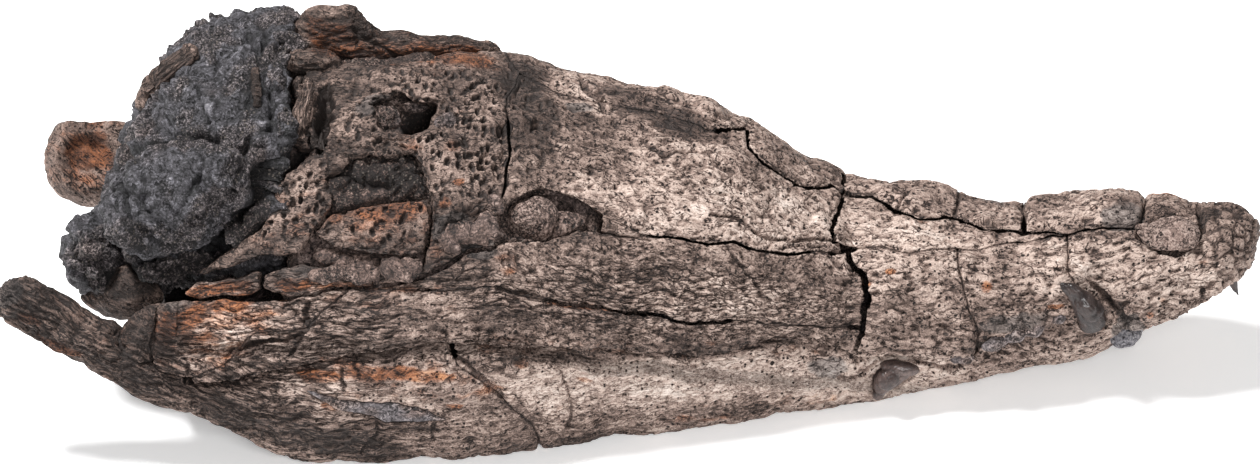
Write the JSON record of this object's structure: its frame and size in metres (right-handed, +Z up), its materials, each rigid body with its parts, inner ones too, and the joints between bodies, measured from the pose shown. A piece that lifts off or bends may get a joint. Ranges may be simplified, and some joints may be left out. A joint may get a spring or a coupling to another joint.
{
  "type": "fossil crocodile skull",
  "caption": "Life-size fossil crocodile skull with its lower jaw closed and dark rock filling its hollows, lying as found on the jaw's lower borders.",
  "frame": {"origin": "centre of the whole skull's box, at the level of the floor it lies on", "axes": "+X to the tip of the snout, +Y to the animal's left, +Z up"},
  "size_m": [0.6981, 0.2274, 0.1903],
  "materials": {
    "bone": "matte",
    "dark_bone": "matte",
    "rusty_bone": "matte",
    "rock": "matte",
    "tooth": "gloss"
  },
  "bodies": {
    "root": {"premaxillae": "bone", "premaxilla_left": "bone", "nasal_front": "bone", "nasal_rear": "bone", "maxilla_front_upper": "bone", "maxilla_front_lower": "bone", "maxilla_canine": "bone", "maxilla_rear": "dark_bone", "maxilla_left_front": "bone", "maxilla_left_rear": "bone", "lacrimal_right": "bone", "jugal_right": "dark_bone", "jugal_left": "dark_bone", "skull_table": "dark_bone", "squamosal_right": "dark_bone", "squamosal_left": "rusty_bone", "postorbital_right": "rusty_bone", "postorbital_left": "dark_bone", "quadratojugal_right": "rusty_bone", "quadrate_right": "dark_bone", "quadrate_condyle_right": "dark_bone", "splinter_rear": "rusty_bone", "splinter_front": "rusty_bone", "orbit_fill": "rock", "orbit_fill_front": "rock", "naris_fill": "rock", "rib": "dark_bone", "hyoid_rod": "dark_bone", "cervical_rib": "dark_bone", "rock_in_skull": "rock", "rock_behind_skull": "rock", "rock_between_jaws": "rock", "fenestra_fill_right": "rock", "dentary_right": "bone", "dentary_left": "bone", "surangular_right": "dark_bone", "surangular_left": "bone", "retroarticular_left": "rusty_bone", "articular_right": "dark_bone", "tooth_canine_right": "tooth", "tooth_canine_left": "tooth", "tooth_front_right": "tooth", "tooth_front_left": "tooth", "tooth_lump_right": "tooth"}
  },
  "joints": []
}
